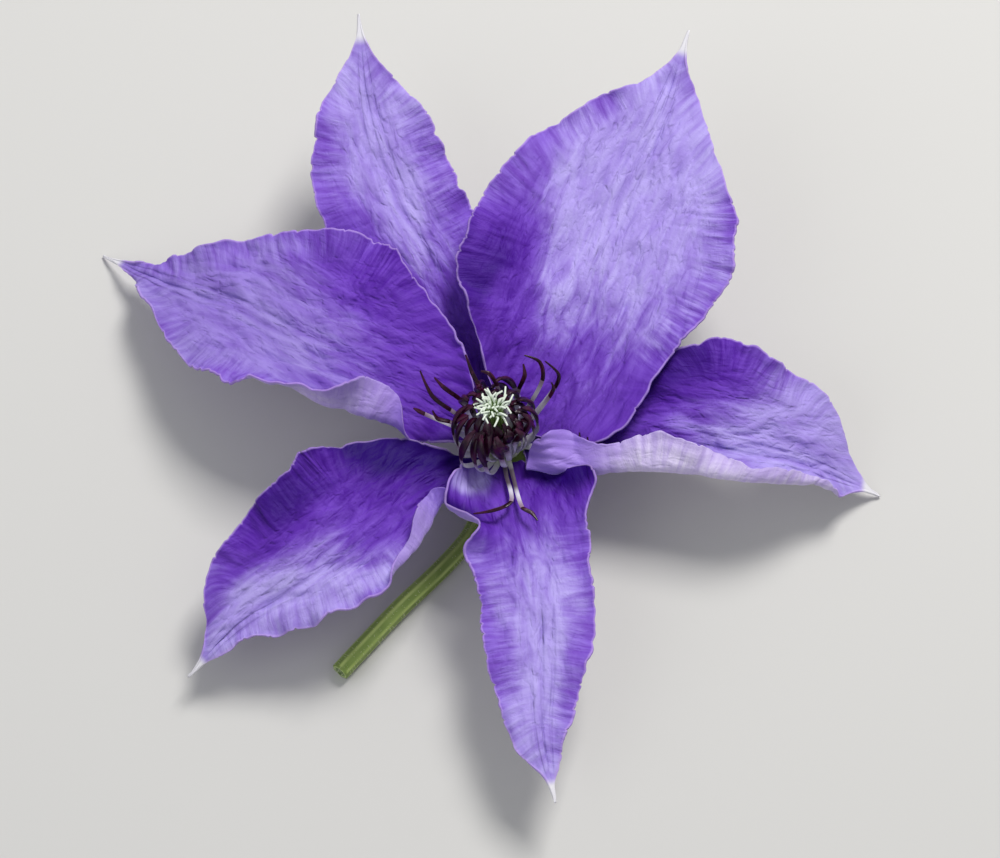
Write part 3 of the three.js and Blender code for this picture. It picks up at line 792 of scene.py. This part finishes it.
# %% Rods
def choose_none(kind):
    """Makes vertices, edges or faces the kind that is selected, and selects none of them."""
    bpy.ops.object.mode_set(mode="EDIT")
    bpy.ops.mesh.select_mode(type=kind)
    bpy.ops.mesh.select_all(action="DESELECT")
    bpy.ops.object.mode_set(mode="OBJECT")


def straight_rod(sides, rings):
    rod = primitive(bpy.ops.mesh.primitive_cylinder_add, vertices=sides, radius=1, depth=1,
                    location=(0, 0, 0.5))
    heights = [v.co.z for v in rod.data.vertices]
    choose_none("EDGE")
    for edge in rod.data.edges:
        edge.select = abs(heights[edge.vertices[0]] - heights[edge.vertices[1]]) > 0.5
    bpy.ops.object.mode_set(mode="EDIT")
    bpy.ops.mesh.subdivide(number_cuts=rings - 1)
    bpy.ops.mesh.select_mode(type="VERT")
    bpy.ops.object.mode_set(mode="OBJECT")
    return rod


def curve_at(points, distances, at):
    """Points of the smooth curve through some points, at these distances along it."""
    return np.stack([smooth(distances, points[:, axis], at) for axis in range(3)], 1)


def line_frames(points, places, first_wide):
    """Places on a smooth line, and at each of them two directions square to it."""
    points = np.asarray(points, float)
    distances = distances_along(points)
    at = np.interp(places * (len(points) - 1), np.arange(len(points)), distances)
    centre = curve_at(points, distances, at)
    tangent = unit(np.gradient(centre, axis=0))
    wide = [unit(np.asarray(first_wide, float) - np.dot(first_wide, tangent[0]) * tangent[0])]
    for ahead in tangent[1:]:
        wide.append(unit(wide[-1] - np.dot(wide[-1], ahead) * ahead))
    wide = np.array(wide)
    return centre, wide, np.cross(tangent, wide)


def bent(rod, name, points, first_wide, widths, thicknesses, section=None):
    """A copy of the rod along the points; widths and thicknesses are given at each point."""
    mesh = rod.data.copy()
    corners = corners_of(mesh)
    places, ring = np.unique(np.round(corners[:, 2], 5), return_inverse=True)
    centre, wide, thick = line_frames(points, places, first_wide)
    stations = np.linspace(0, 1, len(points))
    x, y = corners[:, 0].copy(), corners[:, 1].copy()
    if section:
        x, y = section(x, y, corners[:, 2])
    x = x * smooth(stations, widths, places)[ring] / 2
    y = y * smooth(stations, thicknesses, places)[ring] / 2
    moved = centre[ring] + x[:, None] * wide[ring] + y[:, None] * thick[ring]
    mesh.vertices.foreach_set("co", ((moved + BLOOM) * MM).ravel())
    store(mesh, "place", corners[:, 2])
    return add_object(name, mesh)


def joined(name, pieces):
    select_only(*pieces)
    bpy.ops.object.join()
    whole = bpy.context.object
    whole.name = name
    face_outwards()
    bpy.ops.object.shade_smooth_by_angle(angle=math.radians(50))
    return whole


STEM_ROD = straight_rod(24, 120)
STAMEN_ROD = straight_rod(10, 24)
STYLE_ROD = straight_rod(6, 12)
print("rods have", [len(rod.data.polygons) for rod in (STEM_ROD, STAMEN_ROD, STYLE_ROD)], "faces")

# %% [markdown]
# ## The stem
# The stem runs down from the receptacle behind the flower, comes to lie on the floor, and
# ends where it was cut. Real clematis stems have six blunt ribs, so the round outline of
# the rod is drawn in six times. Below the tepals the stem swells into the receptacle.

# %% Make the stem
STEM_RADIUS, RIB_DEPTH, RIBS = 1.9, 0.25, 6
STEM_LINE = [(0, 0, 11.5), (-0.3, -0.8, 8.5), (-2.2, -5, 4.8), (-5, -10.8, 2.4), (-7.6, -15.8, 1.9),
             (-13, -22.4, 1.9), (-20.9, -30.7, 1.9), (-27.8, -38.7, 1.9), (-32.7, -44.5, 1.9)]
RECEPTACLE = [(0.6, 6.7), (2.0, 7.3), (2.6, 9), (4.2, 10.6), (5.2, 11.7), (5.0, 12.3), (0.3, 12.35)]


def ribbed(x, y, place):
    angle = np.arctan2(y, x)
    scale = 1 - (RIB_DEPTH / STEM_RADIUS) * (0.5 - 0.5 * np.cos(RIBS * angle))
    return x * scale, y * scale


widths = [2 * STEM_RADIUS] * len(STEM_LINE)
stalk = bent(STEM_ROD, "stalk", STEM_LINE, (1, 0, 0), widths, widths, ribbed)
widths = [2 * radius for radius, _ in RECEPTACLE]
seat = bent(STEM_ROD, "seat", [(0, 0, z) for _, z in RECEPTACLE], (1, 0, 0), widths, widths)
print("stem from", STEM_LINE[0], "to", STEM_LINE[-1])

# %% [markdown]
# The cut end shows the inside of the stem: a green skin, a ring of darker bundles that
# carried the water, and a pale pith. The end face is inset a few times, so that there
# are points enough to hold the distance from the middle, which the colours need.

# %% Inset the cut end
INSETS, INSET_WIDTH = 5, 0.3
NOT_CUT = 9.0     # stored where there is no cut face: further out than any colour of its core


def inset_end(piece):
    mesh = piece.data
    lids = [(face.center.y, face.index) for face in mesh.polygons if len(face.vertices) > 4]
    end = min(lids)[1]
    middle = np.array(mesh.polygons[end].center)
    select_only(piece)
    choose_none("FACE")
    mesh.polygons[end].select = True
    bpy.ops.object.mode_set(mode="EDIT")
    for _ in range(INSETS):
        bpy.ops.mesh.inset(thickness=INSET_WIDTH * MM, depth=0, use_even_offset=False)
    bpy.ops.mesh.select_mode(type="VERT")
    bpy.ops.object.mode_set(mode="OBJECT")
    away = np.linalg.norm(corners_of(mesh) - middle, axis=1) / MM
    store(mesh, "core", np.where(away < STEM_RADIUS + 0.2, away, NOT_CUT))
    return middle


cut_end = inset_end(stalk)
store(seat.data, "core", NOT_CUT)
print("cut end at", np.round(cut_end, 4))

# %% [markdown]
# The skin of the stem is green and paler on its ribs, with fine streaks and a reddish
# blush in patches. The same material colours the cut end, by the distance from its middle.

# %% Material of the stem
def noise_in(tree, scale, detail=2.0):
    """Noise through the space of the piece, which has metres as its unit."""
    place = add_node(tree, "ShaderNodeTexCoord").outputs["Object"]
    inputs = {"Vector": place, "Scale": scale, "Detail": detail}
    return add_node(tree, "ShaderNodeTexNoise", inputs).outputs["Fac"]


def stem_material():
    material, tree, shader = new_material("stem_skin", {"Roughness": 0.5})
    streaks, patches = noise_in(tree, 260.0, 4.0), noise_in(tree, 60.0)
    rib, core = measure(tree, "rib"), measure(tree, "core")
    ribs = blend(fade(rib, 0.35, 1.0), (118, 142, 62), (172, 192, 106))
    fresh = blend(fade(streaks, 0.4, 0.65, 0.0, 0.45), ribs, (142, 164, 82))
    ruddy = blend(fade(patches, 0.5, 0.75, 0.0, 0.35), fresh, (122, 92, 74))
    pith = blend(fade(core, 0.5, 0.95), (206, 214, 168), (98, 128, 58))
    inner = blend(fade(core, 1.1, 1.4), pith, (168, 188, 116))
    end = blend(fade(core, 1.55, 1.75), inner, ruddy)
    surface(shader, end, streaks, 0.4, 0.2)
    return material


def store_ribs(mesh, rod, amount):
    corners = corners_of(rod.data)
    ribs = amount * (0.5 + 0.5 * np.cos(RIBS * np.arctan2(corners[:, 1], corners[:, 0])))
    store(mesh, "rib", np.concatenate([ribs, np.zeros(len(mesh.vertices) - len(ribs))]))


for piece, amount in ((stalk, 1.0), (seat, 0.4)):
    store_ribs(piece.data, STEM_ROD, amount)
give([stalk, seat], stem_material())
stem = joined("green_stem", [stalk, seat])
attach(stem, "root")
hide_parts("stem")
print(stem.name, len(stem.data.polygons), "faces")

# %% [markdown]
# ## Hairs of the stem
# The stem is thinly covered with short soft hairs. One hair is a cone with three sides.
# It is copied onto places spread evenly over the stem, each standing square to the skin
# and leaning a little.

# %% Add the hairs
HAIRS = 700
HAIRY_FROM, HAIRY_TO, WIDE_ENOUGH = 1.2 * MM, 9 * MM, 1e-8     # heights, and the area of a face
HAIR_WAY = np.array([-0.6, -0.75, 0.2])                        # along the stem, to its cut end
dice = np.random.default_rng(7)


def hair_on(face, hair):
    normal = np.array(face.normal)
    lean = unit(normal + 0.5 * HAIR_WAY + dice.normal(0, 0.25, 3))
    side = unit(np.cross(lean, HAIR_WAY + 1e-3))
    x, y, z = (corners_of(hair.data)[:, axis, None] for axis in range(3))
    size = dice.uniform(0.5, 1.0)
    root = np.array(face.center) / MM - 0.1 * normal
    return (root + x * side + y * np.cross(lean, side) + z * size * lean) * MM


def add_hairs():
    hair = primitive(bpy.ops.mesh.primitive_cone_add, vertices=3, radius1=0.05, radius2=0.006,
                     depth=1, location=(0, 0, 0.5))
    skin = [face for face in stem.data.polygons
            if HAIRY_FROM < face.center.z < HAIRY_TO and face.area > WIDE_ENOUGH]
    pieces = []
    for k in dice.choice(len(skin), HAIRS, replace=False):
        mesh = hair.data.copy()
        mesh.vertices.foreach_set("co", hair_on(skin[k], hair).ravel())
        pieces.append(add_object("hair", mesh))
    bpy.data.objects.remove(hair)
    return joined("stem_hairs", pieces)


hairs = add_hairs()
hair_material, hair_tree, hair_shader = new_material("pale_hair", {"Roughness": 0.4})
hair_tint = blend(noise_in(hair_tree, 400.0), (196, 206, 150), (232, 234, 214))
hair_tree.links.new(hair_tint, hair_shader.inputs["Base Color"])
give([hairs], hair_material)
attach(hairs, "root")
print(hairs.name, len(hairs.data.polygons), "faces")

# %% [markdown]
# ## The stamens
# A stamen is a flat white stalk, the filament, that carries a dark maroon anther. The
# anther is a long pair of pollen sacs with a shallow groove between them. Three whorls of
# stamens close over the pistil, and some outer ones have already bent away, with their
# dry anthers curled like hooks. The whorls lean a little, away from the lower tepal, and
# stand steeper where the rolled margin of the right tepal crowds them. Places are given as
# a distance from the axis and a height over the foot, or as x, y and that height.

# %% Places of the stamens
WHORLS = [
    dict(count=18, turn=3, stalk=[(2.7, 1), (4.4, 3), (6.2, 5.4), (6.9, 7.8)],
         anther=[(6.4, 10), (5.3, 11.7), (4, 12.3)]),
    dict(count=21, turn=10, stalk=[(2.7, 0.7), (6.2, 2.1), (8.7, 3.8), (9.2, 6.8)],
         anther=[(8.7, 9.4), (7.3, 11.8), (5.6, 13)]),
    dict(count=13, turn=20, stalk=[(2.6, 1.2), (3.6, 4), (4.3, 7), (4.8, 9.4)],
         anther=[(4.5, 11.2), (3.8, 12.6), (2.9, 13.4)]),
]
SPLAYED = [
    (165, (-16, 3.4, 7.2), [(-17.2, 3.8, 7.8), (-18.2, 4.1, 8.4)]),
    (176, (-11, 1.8, 7), [(-13.4, 2, 8), (-14.4, 3.2, 9.2)]),
    (150, (-10.8, 3.4, 9), [(-14.4, 5, 12), (-16.8, 8.6, 16)]),
    (128, (-8.8, 5.4, 9.5), [(-12, 6.2, 13.2), (-14, 7.6, 15)]),
    (108, (-4.6, 6.2, 12), [(-6.4, 8.4, 15), (-7.8, 11.4, 17.5)]),
    (92, (-1.6, 7, 12.6), [(-3.2, 8.4, 15.2), (-4.8, 8.8, 15.4)]),
    (75, (2.8, 7.4, 10.5), [(3.9, 8.4, 14.4), (3.6, 10, 16.2)]),
    (60, (7.4, 8, 13), [(6.8, 10.2, 16.8), (3.8, 11, 18)]),
    (42, (9.9, 7.2, 11.5), [(10.6, 8.6, 14.5), (7.9, 10.2, 17)]),
    (28, (8.8, 5.6, 10.5), [(9.6, 6.4, 12.6), (9.2, 7, 14)]),
    (-6, (12, -2, 2.6), [(14.6, -1.6, 4.2), (14.8, 0, 5.8)]),
    (-14, (13, -3, 2.8), [(16.2, -2.6, 4), (16.4, -0.8, 5.4)]),
    (262, (1.2, -15, 5.4), [(-2.4, -17.4, 6.4), (-6.2, -18.8, 7.9)]),
    (280, (3.4, -16.2, 5.2), [(5.2, -17.4, 5.4), (6.4, -19.2, 5.6)]),
]
CROWDED_ANGLE, CROWDED_AMOUNT, CROWDED_HEIGHT = -0.75, 0.62, 12
SHADOWED_ROOT_ANGLES = (255, 285)     # the filaments of stamens with roots between these angles get a painted shadow


def scatter(index, use, reach):
    """A number between -reach and reach that looks random, alike on every run."""
    value = math.sin(index * 12.9898 + use * 78.233) * 43758.5453
    return (2 * (value - math.floor(value)) - 1) * reach


def on_whorl(radius, height, angle):
    aside = min(height / 2, 1)
    x = -0.16 * height + radius * math.cos(angle)
    y = (0.2 * height - 1.6) * aside + radius * math.sin(angle)
    return x, y, FOOT_HEIGHT + height


def crowded(angle, height):
    """How much of its distance from the axis a stamen keeps beside the rolled margin."""
    low = min(max((CROWDED_HEIGHT - height) / 4, 0), 1)
    return 1 - CROWDED_AMOUNT * low * max(math.cos(angle - CROWDED_ANGLE), 0) ** 2


print(sum(whorl["count"] for whorl in WHORLS), "stamens in whorls,", len(SPLAYED), "splayed")

# %% [markdown]
# Each stamen is a rod bent along its stalk and its anther. Those of a whorl are turned and
# scaled a little, each by its own amount, and the splayed ones get a knee, so that none is
# quite like the next.

# %% Bend the stamens
NARROWEST_WHORL = 2.6
WHORL_SECTION = ([1.3, 1.2, 1.2, 1.2, 2.0, 1.8, 0.6], [0.55, 0.5, 0.5, 0.55, 1.0, 0.95, 0.5])
SPLAYED_SECTION = ([1.1, 0.85, 0.9, 0.95, 0.35], [0.5, 0.45, 0.5, 0.6, 0.3])
ROOT_RADIUS, ROOT_HEIGHT, KNEE_AT, KNEE_DROP = 2.8, 1.4, 0.45, -0.06


def stamen_section(x, y, place):
    """Flat and plain along the stalk; along the anther a groove between two sacs."""
    groove = 1 - 0.4 * np.exp(-((x / 0.3) ** 2))
    return x, np.where(place > 0.5, y * groove, y * 0.8)


def stamen(points, stalk_count, angle, widths, thicknesses):
    """The points are shared out so that the stalk takes the first half of the rod."""
    points = np.asarray(points, float)
    stalk = np.linspace(0, 0.5, stalk_count + 1)[:-1]
    stations = np.concatenate([stalk, np.linspace(0.5, 1, len(points) - stalk_count)])
    even = np.linspace(0, 1, 9)
    distances = distances_along(points)
    line = curve_at(points, distances, np.interp(even, stations, distances))
    wide, thick = (np.interp(even, stations, values) for values in (widths, thicknesses))
    first_wide = (-math.sin(angle), math.cos(angle), 0)
    return bent(STAMEN_ROD, "stamen", line, first_wide, wide, thick, stamen_section)


def whorl_stamens(whorl, number):
    made = []
    for i in range(whorl["count"]):
        seed = 100 * number + i
        angle = math.radians(whorl["turn"] + i / whorl["count"] * 360 + scatter(seed, 1, 8))
        swing = math.radians(scatter(seed, 2, 24))
        size = 1 + scatter(seed, 3, 0.09)
        points = []
        for k, (radius, height) in enumerate(whorl["stalk"] + whorl["anther"]):
            reach = max(radius * size * crowded(angle, height), NARROWEST_WHORL)
            points.append(on_whorl(reach, height * size, angle + swing * (k / 6) ** 2))
        made.append(stamen(points, 3, angle, *WHORL_SECTION))
    return made


def splayed_stamen(root, end, anther):
    angle = math.radians(root)
    foot = np.array([ROOT_RADIUS * math.cos(angle), ROOT_RADIUS * math.sin(angle), FOOT_HEIGHT + ROOT_HEIGHT])
    tip = np.array([end[0], end[1], FOOT_HEIGHT + end[2]])
    knee = foot + KNEE_AT * (tip - foot) + np.array([0, 0, KNEE_DROP * np.linalg.norm(tip - foot)])
    tail = [(x, y, FOOT_HEIGHT + h) for x, y, h in anther]
    made = stamen([foot, knee, tip, *tail], 2, angle, *SPLAYED_SECTION)
    # a painted shadow goes on the stalks of the stamens that root between these angles
    store(made.data, "painted_shadow", SHADOWED_ROOT_ANGLES[0] < root < SHADOWED_ROOT_ANGLES[1])
    return made


stamens = [piece for number, whorl in enumerate(WHORLS) for piece in whorl_stamens(whorl, number)]
stamens += [splayed_stamen(*values) for values in SPLAYED]
print(len(stamens), "stamens")

# %% [markdown]
# The stalks grow from a low ring round the ovary. A torus with its middle line between
# the inner and the outer edge of the ring gives it its rounded form. The filaments are
# greenish at the root and blushed under the anther, and on the stamens that root beside
# the lower tepal a painted shadow darkens most of the stalk.
# The anthers are mottled and dusted with grains. Which faces are anther is known from the
# rod that all stamens were bent from.

# %% Ring and colours of the stamens
RING_HEIGHT, RING_RADIUS, RING_THICKNESS = 13.6, 2.7, 0.75
ring = primitive(bpy.ops.mesh.primitive_torus_add, major_segments=48, minor_segments=12,
                 major_radius=RING_RADIUS * MM, minor_radius=RING_THICKNESS * MM,
                 location=(BLOOM + np.array([0, 0, RING_HEIGHT])) * MM)
store(ring.data, "place", 0)


def filament_material():
    material, tree, shader = new_material("white_filament", {"Roughness": 0.45})
    place, mottling = measure(tree, "place"), noise_in(tree, 700.0, 3.0)
    plain = blend(mottling, (196, 190, 214), (228, 224, 234))
    greenish = blend(fade(place, 0.0, 0.2), (206, 214, 184), plain)
    blushed = blend(fade(place, 0.38, 0.5, 0.0, 0.75), greenish, (104, 48, 96))
    # painted shadow: most of the stalk of those stamens is darkened
    shadow_span = times(fade(place, 0.08, 0.16), fade(place, 0.3, 0.38, 0.9, 0.0))
    shadow_amount = times(shadow_span, measure(tree, "painted_shadow"))
    shadowed = blend(shadow_amount, blushed, (56, 24, 48))
    surface(shader, shadowed, mottling, 0.3, 0.1)
    return material


def anther_material():
    material, tree, shader = new_material("dark_anther", {"Roughness": 0.32, "Specular IOR Level": 0.35})
    grains, patches = noise_in(tree, 1300.0, 3.0), noise_in(tree, 300.0)
    dark = blend(fade(patches, 0.4, 0.65), (34, 5, 26), (64, 12, 46))
    dusted = blend(fade(grains, 0.58, 0.72, 0.0, 0.4), dark, (92, 40, 68))
    surface(shader, dusted, grains, 0.5, 0.12)
    return material


give(stamens + [ring], filament_material(), anther_material())
rod_heights = corners_of(STAMEN_ROD.data)[:, 2]
anther_faces = [np.mean(rod_heights[list(face.vertices)]) > 0.5 for face in STAMEN_ROD.data.polygons]
for piece in stamens:
    piece.data.polygons.foreach_set("material_index", np.array(anther_faces, np.int32))
whorls = joined("stamen_whorls", stamens + [ring])
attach(whorls, "root")
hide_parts("stamens")
print(whorls.name, len(whorls.data.polygons), "faces")

# %% [markdown]
# ## The pistil
# In the middle stands the pistil: a small green ovary under a dense tuft of styles. The
# styles rise close together, and their white tips bend outwards like a star. They are
# set out by the golden angle, as in many flowers, which fills the tuft evenly.

# %% Make the pistil
STYLES, STYLE_REACH, STYLE_TOP = 44, 4.5, 16.0
STYLE_TURNS = [0, 0.1, 0.2, 0.25, 0.4]
STYLE_WIDTHS = [0.4, 0.4, 0.42, 0.44, 0.36]
GOLDEN_ANGLE = math.radians(137.5)
OVARY = [(0.1, 12.7), (1.7, 12.75), (1.7, 15.6), (1.45, 18), (1.2, 20.8), (0.1, 21.8)]


def style(i):
    outward = math.sqrt((i + 0.5) / STYLES)
    angle = i * GOLDEN_ANGLE + scatter(i, 4, 0.25)
    top = STYLE_TOP - 1.5 * outward**2 + scatter(i, 5, 0.6)
    reach = STYLE_REACH * outward * (1 + scatter(i, 6, 0.16))
    places = [(0.6 * outward, 4), (1.3 * outward, 10), (1.8 * outward, top - 1.6),
              (0.62 * reach, top - 0.2), (reach, top)]
    line = [on_whorl(radius, height, angle + scatter(i, 7 + k, STYLE_TURNS[k]))
            for k, (radius, height) in enumerate(places)]
    first_wide = (-math.sin(angle), math.cos(angle), 0)
    return bent(STYLE_ROD, "style", line, first_wide, STYLE_WIDTHS, STYLE_WIDTHS)


styles = [style(i) for i in range(STYLES)]
widths = [2 * radius for radius, _ in OVARY]
OVARY_ROD = straight_rod(16, 24)
ovary_line = [on_whorl(0, height - FOOT_HEIGHT, 0) for _, height in OVARY]
ovary = bent(OVARY_ROD, "ovary", ovary_line, (1, 0, 0), widths, widths)
store(ovary.data, "core", 1)


def style_material():
    """Pale tips on green styles. The core is 1 on the ovary, which is green all over."""
    material, tree, shader = new_material("pale_style", {"Roughness": 0.5})
    mottling = noise_in(tree, 900.0)
    tip = blend(mottling, (212, 226, 206), (240, 246, 236))
    green = blend(fade(measure(tree, "place"), 0.5, 0.74), (132, 166, 84), tip)
    whole = blend(measure(tree, "core"), green, (112, 142, 70))
    surface(shader, whole, mottling, 0.3, 0.08)
    return material


give(styles + [ovary], style_material())
tuft = joined("style_tuft", styles + [ovary])
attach(tuft, "root")
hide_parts("pistil")
for rod in (STEM_ROD, STAMEN_ROD, STYLE_ROD, OVARY_ROD):
    bpy.data.objects.remove(rod)
print(tuft.name, len(tuft.data.polygons), "faces")
